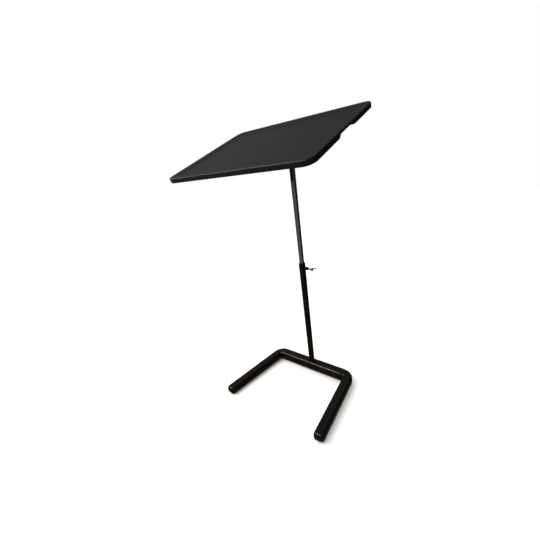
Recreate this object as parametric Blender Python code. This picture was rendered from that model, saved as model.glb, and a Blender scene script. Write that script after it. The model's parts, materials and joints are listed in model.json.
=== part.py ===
"""Tilting lectern stand: a U-shaped cast base, a leaning telescopic column and a dished tray.

The frame has +Z up. The origin is on the floor, under the middle of the base's rear rail. The
legs run forward along -Y to the reader, and X runs along the rail. Metres throughout.

Everything on the column is modelled in the column's own frame, whose Z axis is the column axis
and whose origin is where that axis leaves the rail's top. The tray and its bracket are modelled
in the tray's frame, whose origin is on the tilt hinge and whose X axis is the hinge pin.
"""
from math import atan2, cos, hypot, pi, radians, sin, tan

import bmesh
import bpy
from mathutils import Matrix, Vector

# ---------------------------------------------------------------- driving dimensions
GAP = 0.0003               # air between touching pieces

RAIL_HALF = 0.1942         # rail centre to the corner of the leg centreline
LEG_REACH = 0.3240         # rail centreline to the leg tip, along -Y
LEG_SPLAY = 0.0281         # how far each leg runs outward by its tip
RAIL_WIDTH = 0.0495        # cast section at the rail
RAIL_HEIGHT = 0.0463       # top of the rail above the floor
LEG_WIDTHS = (0.0429, 0.0411)    # cast section of a leg, at the corner and at the tip
LEG_HEIGHTS = (0.0430, 0.0368)
CORNER_RADIUS = 0.0286     # centreline radius where a leg leaves the rail
TOP_ROUND = 0.0155         # rounding of the rail's upper edges
BOTTOM_ROUND = 0.0130      # rounding of the rail's lower edges
TIP_ROUND = 0.0130         # rounding of the leg's end
FLOOR_GAP = 0.0025         # casting above the floor
CAST_WALL = 0.0060
RAIL_POCKET = (0.034, 0.150)     # hollows on the underside, from the middle of the rail
RAIL_POCKET_ROOF = 0.0100
LEG_POCKET = (0.045, 0.260)      # and along each leg from its corner

PAD_RADIUS = 0.012
PAD_HEIGHT = 0.0040
CENTRE_PAD_RADIUS = 0.015
PAD_RECESS = PAD_HEIGHT + GAP - FLOOR_GAP

LEAN = radians(3.8)        # column lean towards the reader
COLUMN_START = 0.0480      # height where the column's own frame begins
OUTER_RADIUS = 0.0130
OUTER_BORE = 0.0115
OUTER_TOP = 0.4890
SOCKET_DEPTH = 0.0220
INNER_RADIUS = 0.0095
INNER_BORE = 0.0080
INNER_BOTTOM = 0.3490
INNER_TOP = 0.8610
BUSH_LENGTH = 0.0600
BUSH_LIP = 0.0012
HINGE_HEIGHT = 0.8860      # tilt hinge along the column axis
PIN_RADIUS = 0.0020
PIN_DROP = 0.0110          # cross pin below the inner tube's top
FOOT_BOLT_RADIUS = 0.0050
FOOT_BOLT_HEAD = 0.0080
FOOT_BOLT_HEAD_HEIGHT = 0.0051
FOOT_BOLT_TIP = 0.0063     # along the column axis
FOOT_BOLT_SEAT = -0.0355   # shoulder in the casting, along the column axis
FOOT_WASHER_RADIUS = 0.0100
FOOT_WASHER_THICK = 0.0020
FOOT_PLUG = (-0.0215, 0.0130)    # threaded plug in the outer tube's foot

CLAMP_HEIGHT = 0.4700      # clamp screw along the column axis
BOSS_RADIUS = 0.0064
BOSS_END = 0.0270
SCREW_RADIUS = 0.0030
CLAMP_PAD_RADIUS = 0.0037
CLAMP_PAD_END = 0.0162
PAD_BORE_END = 0.0180
WING_SPAN = 0.0175
HUB_START = 0.0330
HUB_END = 0.0492
HUB_RADIUS = 0.0054
SCREW_END = 0.0455

TRAY_WIDTH = 0.5000
TRAY_DEPTH = 0.3600
TRAY_TILT = radians(26)
TRAY_CORNER = 0.025
TRAY_FLOOR_CORNER = 0.018
TRAY_CREST = 0.0060        # rim crest above the tray's floor
TRAY_SKIRT = 0.0065        # skirt foot below the tray's floor
TRAY_WALL = 0.0035
TRAY_FLOOR = 0.0045
RIM_CREST = 0.0070         # flat crest ends this far from the edge
RIM_BEND = 0.0030
RIM_FOOT = 0.0350          # the dished slope meets the floor this far from the edge
HINGE_SETBACK = 0.1140     # tray centre to hinge, across the tray
HINGE_DROP = 0.0330        # tray floor to hinge

NOTCH_FRONT = -0.0490      # grip recess in each short skirt, measured along the tray's Y
NOTCH_BACK = 0.0490
NOTCH_HEIGHT = 0.0061
NOTCH_FRONT_RUN = 0.010
NOTCH_BACK_RUN = 0.042

PLATE_THICK = 0.0030
PLATE_HALF_X = 0.110
PLATE_FRONT = -0.130
PLATE_BACK = 0.045
BRACKET_THICK = 0.0030
BRACKET_HALF_X = 0.042
BRACKET_HALF_Y = 0.026
EAR_THICK = 0.0040
EAR_RADIUS = 0.0130
EAR_FOOT = 0.0200          # half the ear's length where it leaves the flange
EYE_HALF = 0.0100
EYE_RADIUS = 0.0110
DISC_THICK = 0.0015
DISC_RADIUS = 0.0105
PIVOT_RADIUS = 0.0040
PIVOT_HEAD = 0.0072
NUT_RADIUS = 0.0075        # to the corners of the hexagon
BRACKET_SCREW_RADIUS = 0.0025
PLATE_SCREW_RADIUS = 0.0020
PLATE_SCREW_BITE = 0.0024  # how far the plate's screws reach into the tray's floor

SEGMENTS = 28
SMALL_SEGMENTS = 16
CUTTER_EDGE = 0.0001       # tiny chamfer on the round cutters

MATERIALS = {
    # name: (colour, roughness, metallic)
    "black_paint": ((0.012, 0.011, 0.011), 0.38, 0.0),
    "chrome": ((0.62, 0.62, 0.63), 0.07, 1.0),
    "soft_black": ((0.030, 0.030, 0.029), 0.62, 0.0),
    "rubber": ((0.015, 0.015, 0.015), 0.85, 0.0),
    "nylon": ((0.020, 0.020, 0.020), 0.50, 0.0),
    "friction": ((0.300, 0.270, 0.220), 0.70, 0.0),
    "zinc_steel": ((0.550, 0.560, 0.580), 0.32, 1.0),
}


# ---------------------------------------------------------------- small helpers
def clear_scene():
    for thing in list(bpy.data.objects):
        bpy.data.objects.remove(thing)


def make_material(name):
    colour, roughness, metallic = MATERIALS[name]
    material = bpy.data.materials.new(name)
    material.use_nodes = True
    shader = material.node_tree.nodes["Principled BSDF"]
    shader.inputs["Base Color"].default_value = (*colour, 1.0)
    shader.inputs["Roughness"].default_value = roughness
    shader.inputs["Metallic"].default_value = metallic
    return material


def make_empty(name, matrix, parent=None):
    empty = bpy.data.objects.new(name, None)
    bpy.context.collection.objects.link(empty)
    empty.parent = parent
    empty.matrix_local = matrix
    return empty


def make_object(name, bm, parent, finish=None):
    """Turn a bmesh into an object under an axis empty, smooth except at sharp edges."""
    bmesh.ops.recalc_face_normals(bm, faces=bm.faces)
    mesh = bpy.data.meshes.new(name)
    bm.to_mesh(mesh)
    bm.free()
    mesh.shade_smooth()
    mesh.set_sharp_from_angle(angle=radians(35))
    thing = bpy.data.objects.new(name, mesh)
    bpy.context.collection.objects.link(thing)
    thing.parent = parent
    if finish:
        own = make_material(finish)
        own.name = name + "_" + finish
        mesh.materials.append(own)
    return thing


def loft(bm, rings, closed=False):
    """Skin a row of equal rings of points. A row that isn't closed is capped at both ends."""
    rows = [[bm.verts.new(point) for point in ring] for ring in rings]
    pairs = list(zip(rows, rows[1:]))
    if closed:
        pairs.append((rows[-1], rows[0]))
    for lower, upper in pairs:
        for i in range(len(lower)):
            j = (i + 1) % len(lower)
            bm.faces.new((lower[i], lower[j], upper[j], upper[i]))
    if not closed:
        bm.faces.new(rows[0])
        bm.faces.new(rows[-1])


def turn(bm, profile, matrix=None, closed=False, segments=SEGMENTS):
    """Turn (radius, height) points about Z. A closed profile makes a tube or a washer."""
    matrix = matrix or Matrix()
    rings = []
    for radius, height in profile:
        ring = []
        for step in range(segments):
            angle = 2 * pi * step / segments
            ring.append(matrix @ Vector((radius * cos(angle), radius * sin(angle), height)))
        rings.append(ring)
    loft(bm, rings, closed)


def turned(name, profile, parent, finish=None, **options):
    bm = bmesh.new()
    turn(bm, profile, **options)
    return make_object(name, bm, parent, finish)


def rod_profile(radius, low, high, chamfer):
    return [(radius - chamfer, low), (radius, low + chamfer),
            (radius, high - chamfer), (radius - chamfer, high)]


def sleeve_profile(outer, inner, low, high):
    return [(outer, low), (outer, high), (inner, high), (inner, low)]


def block(bm, low, high, matrix=None):
    """A box between two corners."""
    matrix = matrix or Matrix()
    rings = []
    for z in (low[2], high[2]):
        corners = ((low[0], low[1]), (high[0], low[1]), (high[0], high[1]), (low[0], high[1]))
        rings.append([matrix @ Vector((x, y, z)) for x, y in corners])
    loft(bm, rings)


def slab_along_x(bm, outline, low, high):
    """Extrude an outline of (y, z) points along X."""
    loft(bm, [[Vector((x, y, z)) for y, z in outline] for x in (low, high)])


def rounded_rectangle(half_x, half_y, radii, steps):
    """Points of a rectangle with rounded corners, from the +X +Y corner, anticlockwise."""
    points = []
    for corner, (sign_x, sign_y) in enumerate(((1, 1), (-1, 1), (-1, -1), (1, -1))):
        radius = radii[corner]
        for step in range(steps + 1):
            angle = pi / 2 * (corner + step / steps)
            points.append((sign_x * (half_x - radius) + radius * cos(angle),
                           sign_y * (half_y - radius) + radius * sin(angle)))
    return points


def add_boolean(target, tool, operation):
    tool.hide_render = True
    tool.display_type = "WIRE"
    modifier = target.modifiers.new(tool.name, "BOOLEAN")
    modifier.operation = operation
    modifier.object = tool
    modifier.solver = "EXACT"


def cut(target, tool):
    add_boolean(target, tool, "DIFFERENCE")


def join(target, tool):
    add_boolean(target, tool, "UNION")


ALONG_X = Matrix.Rotation(pi / 2, 4, "Y")     # turns a piece made along Z to lie along +X
COLUMN_FRAME = Matrix.Translation((0, 0, COLUMN_START)) @ Matrix.Rotation(LEAN, 4, "X")


# ---------------------------------------------------------------- base
LEG_LENGTH = hypot(LEG_SPLAY, LEG_REACH)
LEG_TURN = atan2(LEG_REACH, LEG_SPLAY)      # from the rail's direction to the leg's
LEG_DIRECTION = Vector((cos(LEG_TURN), -sin(LEG_TURN)))
CORNER = Vector((RAIL_HALF, 0.0))


def section(centre, direction, width, height, inset=0.0):
    """One upright section of the casting, square to its direction in plan."""
    low = FLOOR_GAP + inset
    high = height - inset
    share = height / RAIL_HEIGHT
    smallest = 0.003
    top = max(TOP_ROUND * share - inset * 0.8, smallest)
    bottom = max(BOTTOM_ROUND * share - inset * 0.7, smallest)
    sideways = Vector((-direction.y, direction.x))
    ring = []
    for across, up in rounded_rectangle(width / 2 - inset, (high - low) / 2, (top, top, bottom, bottom), 3):
        spot = centre + sideways * across
        ring.append(Vector((spot.x, spot.y, (low + high) / 2 + up)))
    return ring


def leg_point(distance):
    return CORNER + LEG_DIRECTION * distance


def between(ends, share):
    return ends[0] + (ends[1] - ends[0]) * share


def half_base_sections():
    """Sections from beside the column, round one corner and out to the leg's tip."""
    rings = []
    tangent = CORNER_RADIUS * tan(LEG_TURN / 2)
    arc_centre = Vector((RAIL_HALF - tangent, -CORNER_RADIUS))
    for share in (0.0, 0.5):
        rings.append(section(Vector((arc_centre.x * share, 0.0)), Vector((1, 0)), RAIL_WIDTH, RAIL_HEIGHT))
    steps = 8
    for step in range(steps + 1):
        share = step / steps
        angle = LEG_TURN * share
        outward = Vector((sin(angle), cos(angle)))
        width = between((RAIL_WIDTH, LEG_WIDTHS[0]), share)
        height = between((RAIL_HEIGHT, LEG_HEIGHTS[0]), share)
        direction = Vector((cos(angle), -sin(angle)))
        rings.append(section(arc_centre + outward * CORNER_RADIUS, direction, width, height))
    straight_end = LEG_LENGTH - TIP_ROUND
    for share in (0.35, 0.7, 1.0):
        spot = leg_point(between((tangent, straight_end), share))
        rings.append(section(spot, LEG_DIRECTION, between(LEG_WIDTHS, share), between(LEG_HEIGHTS, share)))
    steps = 5
    for step in range(1, steps + 1):
        angle = pi / 2 * step / steps
        inset = TIP_ROUND * (1 - cos(angle)) * 0.92
        spot = leg_point(straight_end + TIP_ROUND * sin(angle))
        rings.append(section(spot, LEG_DIRECTION, LEG_WIDTHS[1], LEG_HEIGHTS[1], inset))
    return rings


def leg_frame(distance, side):
    """A frame on the floor under a leg, with Y along the leg towards its tip."""
    spot = leg_point(distance)
    heading = atan2(LEG_DIRECTION.y, LEG_DIRECTION.x * side) - pi / 2
    return Matrix.Translation((side * spot.x, spot.y, 0)) @ Matrix.Rotation(heading, 4, "Z")


def pad_places():
    tip = leg_point(LEG_LENGTH - 0.026)
    corner = Vector((RAIL_HALF - 0.012, -0.006))
    return {
        "left_tip": (-tip.x, tip.y),
        "right_tip": (tip.x, tip.y),
        "left_corner": (-corner.x, corner.y),
        "right_corner": (corner.x, corner.y),
    }


def build_base():
    right = half_base_sections()
    left = [[Vector((-point.x, point.y, point.z)) for point in ring] for ring in right[1:]]
    bm = bmesh.new()
    loft(bm, list(reversed(left)) + right)
    base = make_object("base_frame", bm, None, "black_paint")
    cut_pockets(base)

    # The column stands in a leaning socket and is pulled down by a bolt from beneath.
    cut(base, column_cutter("column_socket", OUTER_RADIUS + GAP, -SOCKET_DEPTH, 0.03))
    cut(base, column_cutter("column_bolt_hole", FOOT_BOLT_RADIUS + 0.0004, -0.045, 0.0))
    cut(base, column_cutter("column_bolt_recess", FOOT_WASHER_RADIUS + 0.001, -0.060, FOOT_BOLT_SEAT))

    bm = bmesh.new()
    for x, y in pad_places().values():
        place = Matrix.Translation((x, y, FLOOR_GAP))
        turn(bm, rod_profile(PAD_RADIUS + GAP, -0.01, PAD_RECESS, CUTTER_EDGE), place)
    place = Matrix.Translation((0, 0, FLOOR_GAP))
    turn(bm, rod_profile(CENTRE_PAD_RADIUS + GAP, -0.01, PAD_RECESS, CUTTER_EDGE), place)
    cut(base, make_object("pad_recesses", bm, None))

    edge = 0.0006
    for name, (x, y) in pad_places().items():
        turned("foot_pad_" + name, rod_profile(PAD_RADIUS, 0, PAD_HEIGHT, edge), None, "rubber",
               matrix=Matrix.Translation((x, y, 0)), segments=SMALL_SEGMENTS)
    turned("centre_pad", rod_profile(CENTRE_PAD_RADIUS, 0, PAD_HEIGHT, edge), None, "rubber")


def cut_pockets(base):
    """Hollows on the underside, which leave solid islands at the tips, the corners and the column."""
    bm = bmesh.new()
    half_rail = RAIL_WIDTH / 2 - CAST_WALL
    half_leg = LEG_WIDTHS[1] / 2 - CAST_WALL
    for side in (-1, 1):
        near, far = sorted(side * end for end in RAIL_POCKET)
        block(bm, (near, -half_rail, -0.01), (far, half_rail, RAIL_HEIGHT - RAIL_POCKET_ROOF))
        corner = (half_leg, LEG_POCKET[1] - LEG_POCKET[0], LEG_HEIGHTS[1] - CAST_WALL)
        block(bm, (-half_leg, 0, -0.01), corner, leg_frame(LEG_POCKET[0], side))
    cut(base, make_object("base_pockets", bm, None))


def column_cutter(name, radius, low, high):
    """A round cutter on the column's axis, outside the column's own tree."""
    return turned(name, rod_profile(radius, low, high, CUTTER_EDGE), None, matrix=COLUMN_FRAME)


# ---------------------------------------------------------------- column
def build_column_foot(column):
    washer_top = FOOT_BOLT_SEAT - GAP
    washer_low = washer_top - FOOT_WASHER_THICK
    washer = sleeve_profile(FOOT_WASHER_RADIUS, FOOT_BOLT_RADIUS + GAP, washer_low, washer_top)
    turned("column_washer", washer, column, "zinc_steel", closed=True, segments=SMALL_SEGMENTS)
    head_top = washer_low - GAP
    head_low = head_top - FOOT_BOLT_HEAD_HEIGHT
    profile = [(FOOT_BOLT_HEAD, head_low), (FOOT_BOLT_HEAD, head_top), (FOOT_BOLT_RADIUS, head_top),
               (FOOT_BOLT_RADIUS, FOOT_BOLT_TIP - 0.0008), (FOOT_BOLT_RADIUS - 0.0008, FOOT_BOLT_TIP)]
    bolt = turned("column_bolt", profile, column, "zinc_steel", segments=SMALL_SEGMENTS)
    key = rod_profile(0.0033, head_low - 0.01, head_low + 0.0027, CUTTER_EDGE)
    cut(bolt, turned("column_bolt_key", key, column, segments=6))
    body = rod_profile(OUTER_BORE - GAP, *FOOT_PLUG, 0.0010)
    plug = turned("column_foot_plug", body, column, "zinc_steel")
    thread = rod_profile(FOOT_BOLT_RADIUS + GAP, -0.0300, FOOT_BOLT_TIP + GAP, CUTTER_EDGE)
    cut(plug, turned("column_foot_thread", thread, column, segments=SMALL_SEGMENTS))


def build_outer_column(column):
    low = -SOCKET_DEPTH + GAP
    wall = sleeve_profile(OUTER_RADIUS, OUTER_BORE, low, OUTER_TOP)
    tube = turned("outer_column_tube", wall, column, "black_paint", closed=True)
    cut(tube, clamp_bore("tube_pad_hole", column, CLAMP_PAD_RADIUS + GAP, 0.006, 0.020))

    outer = OUTER_BORE - GAP
    bore = INNER_RADIUS + GAP
    lip = OUTER_RADIUS - 0.0004
    profile = [(outer, OUTER_TOP - BUSH_LENGTH), (outer, OUTER_TOP + GAP), (lip, OUTER_TOP + GAP),
               (lip, OUTER_TOP + BUSH_LIP), (bore, OUTER_TOP + BUSH_LIP), (bore, OUTER_TOP - BUSH_LENGTH)]
    bush = turned("guide_bush", profile, column, "nylon", closed=True)
    cut(bush, clamp_bore("bush_pad_hole", column, CLAMP_PAD_RADIUS + 2 * GAP, 0.006, 0.020))


def build_inner_column(glide, inner):
    skirt = OUTER_BORE - GAP
    spigot = INNER_BORE - GAP
    low = INNER_BOTTOM - GAP
    turned("glide_plug", [(skirt - 0.001, low - 0.0120), (skirt, low - 0.0110), (skirt, low - 0.001),
                          (skirt - 0.001, low), (spigot, low), (spigot, low + 0.0180),
                          (spigot - 0.001, low + 0.0190)], glide, "nylon")
    wall = sleeve_profile(INNER_RADIUS, INNER_BORE, INNER_BOTTOM, INNER_TOP)
    tube = turned("inner_column_tube", wall, inner, "chrome", closed=True)
    place = Matrix.Translation((0, 0, INNER_TOP - PIN_DROP)) @ ALONG_X
    pin_bore = rod_profile(PIN_RADIUS + GAP, -0.02, 0.02, CUTTER_EDGE)
    cut(tube, turned("tube_pin_hole", pin_bore, inner, matrix=place, segments=SMALL_SEGMENTS))
    pin_half = INNER_RADIUS - 0.0002
    turned("head_pin", rod_profile(PIN_RADIUS, -pin_half, pin_half, 0.0004), inner, "zinc_steel",
           matrix=place, segments=SMALL_SEGMENTS)

    collar = INNER_TOP + GAP
    plug = INNER_BORE - GAP
    profile = [(plug - 0.001, INNER_TOP - 0.024), (plug, INNER_TOP - 0.023), (plug, collar),
               (INNER_RADIUS, collar), (INNER_RADIUS, collar + 0.0045),
               (INNER_RADIUS - 0.001, collar + 0.0055)]
    head = turned("column_head", profile, inner, "black_paint")
    bm = bmesh.new()
    neck_half = INNER_RADIUS - 0.0016
    slab_along_x(bm, eye_outline(EYE_RADIUS, 0.0080, collar + 0.002 - HINGE_HEIGHT), -neck_half, neck_half)
    bmesh.ops.translate(bm, verts=bm.verts, vec=(0, 0, HINGE_HEIGHT))
    join(head, make_object("head_neck", bm, inner))
    hinge = Matrix.Translation((0, 0, HINGE_HEIGHT)) @ ALONG_X
    eye = rod_profile(EYE_RADIUS - 0.0002, -EYE_HALF, EYE_HALF, 0.0005)
    join(head, turned("head_eye", eye, inner, matrix=hinge))
    bore = rod_profile(PIVOT_RADIUS + GAP, -0.03, 0.03, CUTTER_EDGE)
    cut(head, turned("head_bore", bore, inner, matrix=hinge, segments=SMALL_SEGMENTS))
    cut(head, turned("head_pin_hole", pin_bore, inner, matrix=place, segments=SMALL_SEGMENTS))


def eye_outline(radius, half_width, foot):
    """A strap in Y and Z that ends in a round eye at the origin; its foot is straight."""
    steps = 14
    spread = radians(28)
    points = [(half_width, foot)]
    for step in range(steps + 1):
        angle = -spread + (pi + 2 * spread) * step / steps
        if foot > 0:
            points.append((radius * cos(angle), -radius * sin(angle)))
        else:
            points.append((radius * cos(angle), radius * sin(angle)))
    points.append((-half_width, foot))
    return points


# ---------------------------------------------------------------- clamp
def clamp_bore(name, parent, radius, low, high):
    """A round cutter along the clamp screw's line."""
    place = Matrix.Translation((0, 0, CLAMP_HEIGHT)) @ ALONG_X
    profile = rod_profile(radius, low, high, CUTTER_EDGE)
    return turned(name, profile, parent, matrix=place, segments=SMALL_SEGMENTS)


def build_clamp(column, clamp_pad, clamp_screw):
    place = Matrix.Translation((0, 0, CLAMP_HEIGHT)) @ ALONG_X
    body = rod_profile(BOSS_RADIUS, 0.0040, BOSS_END, 0.0007)
    boss = turned("clamp_boss", body, column, "black_paint", matrix=place)
    saddle = rod_profile(OUTER_RADIUS + GAP, CLAMP_HEIGHT - 0.03, CLAMP_HEIGHT + 0.03, CUTTER_EDGE)
    cut(boss, turned("boss_saddle", saddle, column))
    cut(boss, clamp_bore("boss_pad_bore", column, CLAMP_PAD_RADIUS + GAP, 0.0, PAD_BORE_END))
    cut(boss, clamp_bore("boss_screw_bore", column, SCREW_RADIUS + GAP, 0.0, BOSS_END + 0.01))

    pad = rod_profile(CLAMP_PAD_RADIUS, INNER_RADIUS + 2 * GAP, CLAMP_PAD_END, 0.0005)
    turned("clamp_pad", pad, clamp_pad, "nylon", matrix=ALONG_X, segments=SMALL_SEGMENTS)

    screw = rod_profile(SCREW_RADIUS, CLAMP_PAD_END + GAP, SCREW_END, 0.0005)
    turned("clamp_screw", screw, clamp_screw, "zinc_steel", matrix=ALONG_X, segments=SMALL_SEGMENTS)

    hub = [(HUB_RADIUS - 0.0015, HUB_START), (HUB_RADIUS - 0.0007, HUB_START + 0.0008),
           (HUB_RADIUS, HUB_START + 0.0080), (HUB_RADIUS, HUB_END - 0.0012), (HUB_RADIUS - 0.0009, HUB_END)]
    wing = turned("clamp_wing", hub, clamp_screw, "chrome", matrix=ALONG_X, segments=SMALL_SEGMENTS)
    for side, name in ((-1, "near_wing"), (1, "far_wing")):
        join(wing, wing_blade(name, side, clamp_screw))
    bore = rod_profile(SCREW_RADIUS + GAP, 0.02, SCREW_END + GAP, CUTTER_EDGE)
    cut(wing, turned("wing_bore", bore, clamp_screw, matrix=ALONG_X, segments=SMALL_SEGMENTS))


def wing_blade(name, side, parent):
    """One blade of the wing: it leaves the hub sideways, sweeps outward and thins to a round tip."""
    stations = (
        # outward along the screw, sideways, half chord, half thickness
        (0.0440, 0.0020, 0.0044, 0.0019),
        (0.0460, 0.0070, 0.0042, 0.0018),
        (0.0497, 0.0115, 0.0039, 0.0017),
        (0.0538, 0.0150, 0.0034, 0.0016),
        (0.0572, WING_SPAN - 0.0008, 0.0026, 0.0014),
        (0.0585, WING_SPAN, 0.0012, 0.0009),
    )
    lean = Vector((0.78, 0.62 * side, 0))
    across = Vector((-lean.y, lean.x, 0))
    sides = 12
    rings = []
    for out, sideways, chord, thick in stations:
        centre = Vector((out, side * sideways, 0))
        ring = []
        for step in range(sides):
            angle = 2 * pi * step / sides
            ring.append(centre + across * chord * cos(angle) + Vector((0, 0, thick * sin(angle))))
        rings.append(ring)
    bm = bmesh.new()
    loft(bm, rings)
    return make_object(name, bm, parent)


# ---------------------------------------------------------------- tray and tilt bracket
def tray_frame_point(x, y, z):
    """Tray coordinates, from the middle of its floor, to the hinge-centred tray frame."""
    return Vector((x, y - HINGE_SETBACK, z + HINGE_DROP))


def tray_ring(inset, height):
    share = min(inset / RIM_FOOT, 1.0)
    radius = TRAY_CORNER + (TRAY_FLOOR_CORNER - TRAY_CORNER) * share
    outline = rounded_rectangle(TRAY_WIDTH / 2 - inset, TRAY_DEPTH / 2 - inset, (radius,) * 4, 6)
    return [tray_frame_point(x, y, height) for x, y in outline]


def slope(share):
    return share * share * (3 - 2 * share)


def build_tray(tray):
    under = TRAY_CREST - TRAY_WALL
    rings = [tray_ring(0.0, -TRAY_SKIRT), tray_ring(0.0, TRAY_CREST - RIM_BEND)]
    steps = 3
    for step in range(1, steps + 1):
        angle = pi / 2 * step / steps
        rings.append(tray_ring(RIM_BEND * (1 - cos(angle)), TRAY_CREST - RIM_BEND * (1 - sin(angle))))
    steps = 6
    for step in range(steps + 1):
        share = step / steps
        rings.append(tray_ring(between((RIM_CREST, RIM_FOOT), share), TRAY_CREST * (1 - slope(share))))
    below = [tray_ring(TRAY_WALL, -TRAY_SKIRT), tray_ring(TRAY_WALL, under)]
    for step in range(steps + 1):
        share = step / steps
        inset = between((RIM_CREST, RIM_FOOT), share) + 0.001
        below.append(tray_ring(inset, between((under, -TRAY_FLOOR), slope(share))))
    bm = bmesh.new()
    loft(bm, list(reversed(below)) + rings)
    shell = make_object("tray", bm, tray, "soft_black")
    for side, name in ((-1, "left_notch"), (1, "right_notch")):
        cut(shell, notch_cutter(name, side, tray))
    bm = bmesh.new()
    for x, y in plate_screw_places():
        place = Matrix.Translation(tray_frame_point(x, y, -TRAY_FLOOR))
        profile = rod_profile(PLATE_SCREW_RADIUS + GAP, -0.01, PLATE_SCREW_BITE + 0.0004, CUTTER_EDGE)
        turn(bm, profile, place, segments=SMALL_SEGMENTS)
    cut(shell, make_object("tray_screw_holes", bm, tray))


def notch_cutter(name, side, tray):
    """Cutter for one grip recess: it raises the skirt's foot steeply in front and gently at the back."""
    low = -TRAY_SKIRT
    high = low + NOTCH_HEIGHT
    outline = [(NOTCH_FRONT - NOTCH_FRONT_RUN, low - NOTCH_HEIGHT), (NOTCH_FRONT, low),
               (NOTCH_FRONT + NOTCH_FRONT_RUN, high), (NOTCH_BACK - NOTCH_BACK_RUN, high),
               (NOTCH_BACK, low), (NOTCH_BACK + NOTCH_BACK_RUN, low - NOTCH_HEIGHT)]
    shifted = [(y - HINGE_SETBACK, z + HINGE_DROP) for y, z in outline]
    ends = sorted((side * (TRAY_WIDTH / 2 - TRAY_WALL - 0.004), side * (TRAY_WIDTH / 2 + 0.01)))
    bm = bmesh.new()
    slab_along_x(bm, shifted, *ends)
    return make_object(name, bm, tray)


def plate_screw_places():
    """Tray coordinates of the screws that hold the mounting plate."""
    edge = 0.012
    places = []
    for x in (edge - PLATE_HALF_X, PLATE_HALF_X - edge):
        for y in (PLATE_FRONT + edge, (PLATE_FRONT + PLATE_BACK) / 2, PLATE_BACK - edge):
            places.append((x, y + HINGE_SETBACK))
    return places


def bracket_screw_places():
    return [(x, y) for x in (-0.032, 0.032) for y in (-0.017, 0.017)]


def flat_plate(name, half_x, front, back, corner, low, high, tray):
    """A flat plate with round corners, between two levels of the tray's frame."""
    middle = (front + back) / 2
    outline = rounded_rectangle(half_x, (back - front) / 2, (corner,) * 4, 4)
    bm = bmesh.new()
    loft(bm, [[Vector((x, y + middle, z)) for x, y in outline] for z in (low, high)])
    return make_object(name, bm, tray, "black_paint")


def screw_hole_cutter(name, places, radius, low, high, tray):
    bm = bmesh.new()
    for x, y in places:
        profile = rod_profile(radius + GAP, low - 0.01, high + 0.01, CUTTER_EDGE)
        turn(bm, profile, Matrix.Translation((x, y, 0)), segments=SMALL_SEGMENTS)
    return make_object(name, bm, tray)


def build_tilt_bracket(tray):
    plate_top = HINGE_DROP - TRAY_FLOOR - GAP
    plate_low = plate_top - PLATE_THICK
    plate = flat_plate("mounting_plate", PLATE_HALF_X, PLATE_FRONT, PLATE_BACK, 0.012,
                       plate_low, plate_top, tray)

    flange_top = plate_low - GAP
    flange_low = flange_top - BRACKET_THICK
    bracket = flat_plate("tilt_bracket", BRACKET_HALF_X, -BRACKET_HALF_Y, BRACKET_HALF_Y, 0.006,
                         flange_low, flange_top, tray)
    ear_low = EYE_HALF + 2 * GAP + DISC_THICK
    for side, name in ((-1, "left_ear"), (1, "right_ear")):
        ends = sorted((side * ear_low, side * (ear_low + EAR_THICK)))
        bm = bmesh.new()
        slab_along_x(bm, eye_outline(EAR_RADIUS, EAR_FOOT, flange_low + 0.001), *ends)
        join(bracket, make_object(name, bm, tray))
    bore = rod_profile(PIVOT_RADIUS + GAP, -0.03, 0.03, CUTTER_EDGE)
    cut(bracket, turned("ear_bore", bore, tray, matrix=ALONG_X, segments=SMALL_SEGMENTS))

    plate_places = [(x, y - HINGE_SETBACK) for x, y in plate_screw_places()]
    bracket_places = bracket_screw_places()
    bracket_holes = screw_hole_cutter("bracket_screw_holes", bracket_places, BRACKET_SCREW_RADIUS,
                                      flange_low, plate_top, tray)
    plate_holes = screw_hole_cutter("plate_screw_holes", plate_places, PLATE_SCREW_RADIUS,
                                    plate_low, plate_top, tray)
    cut(bracket, bracket_holes)
    cut(plate, bracket_holes)
    cut(plate, plate_holes)
    screw_tip = plate_top - 0.0002
    build_screws("bracket_screw", bracket_places, flange_low, screw_tip, BRACKET_SCREW_RADIUS, tray)
    screw_tip = plate_top + GAP + PLATE_SCREW_BITE
    build_screws("plate_screw", plate_places, plate_low, screw_tip, PLATE_SCREW_RADIUS, tray)
    build_pivot(tray, ear_low + EAR_THICK + GAP)


def build_pivot(tray, face):
    """Friction discs, hinge bolt, spring washer and nut. The ears' outer faces are at face along X."""
    disc = sleeve_profile(DISC_RADIUS, PIVOT_RADIUS + GAP, EYE_HALF + GAP, EYE_HALF + GAP + DISC_THICK)
    flipped = Matrix.Rotation(pi, 4, "Z") @ ALONG_X
    for name, place in (("friction_disc_right", ALONG_X), ("friction_disc_left", flipped)):
        turned(name, disc, tray, "friction", matrix=place, closed=True, segments=SMALL_SEGMENTS)

    end = face + 0.0102
    bolt = [(PIVOT_HEAD - 0.0006, -face - 0.0050), (PIVOT_HEAD, -face - 0.0044), (PIVOT_HEAD, -face),
            (PIVOT_RADIUS, -face), (PIVOT_RADIUS, end - 0.0006), (PIVOT_RADIUS - 0.0006, end)]
    turned("pivot_bolt", bolt, tray, "zinc_steel", matrix=ALONG_X, segments=SMALL_SEGMENTS)
    washer = [(0.0080, face), (0.0080, face + 0.0006), (0.0045, face + 0.0014), (0.0045, face + 0.0008)]
    turned("spring_washer", washer, tray, "zinc_steel",
           matrix=ALONG_X, closed=True, segments=SMALL_SEGMENTS)
    body = rod_profile(NUT_RADIUS, face + 0.0017, face + 0.0085, 0.0006)
    nut = turned("pivot_nut", body, tray, "zinc_steel", matrix=ALONG_X, segments=6)
    bore = rod_profile(PIVOT_RADIUS + GAP, 0.0, 0.04, CUTTER_EDGE)
    cut(nut, turned("nut_bore", bore, tray, matrix=ALONG_X, segments=SMALL_SEGMENTS))


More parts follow.
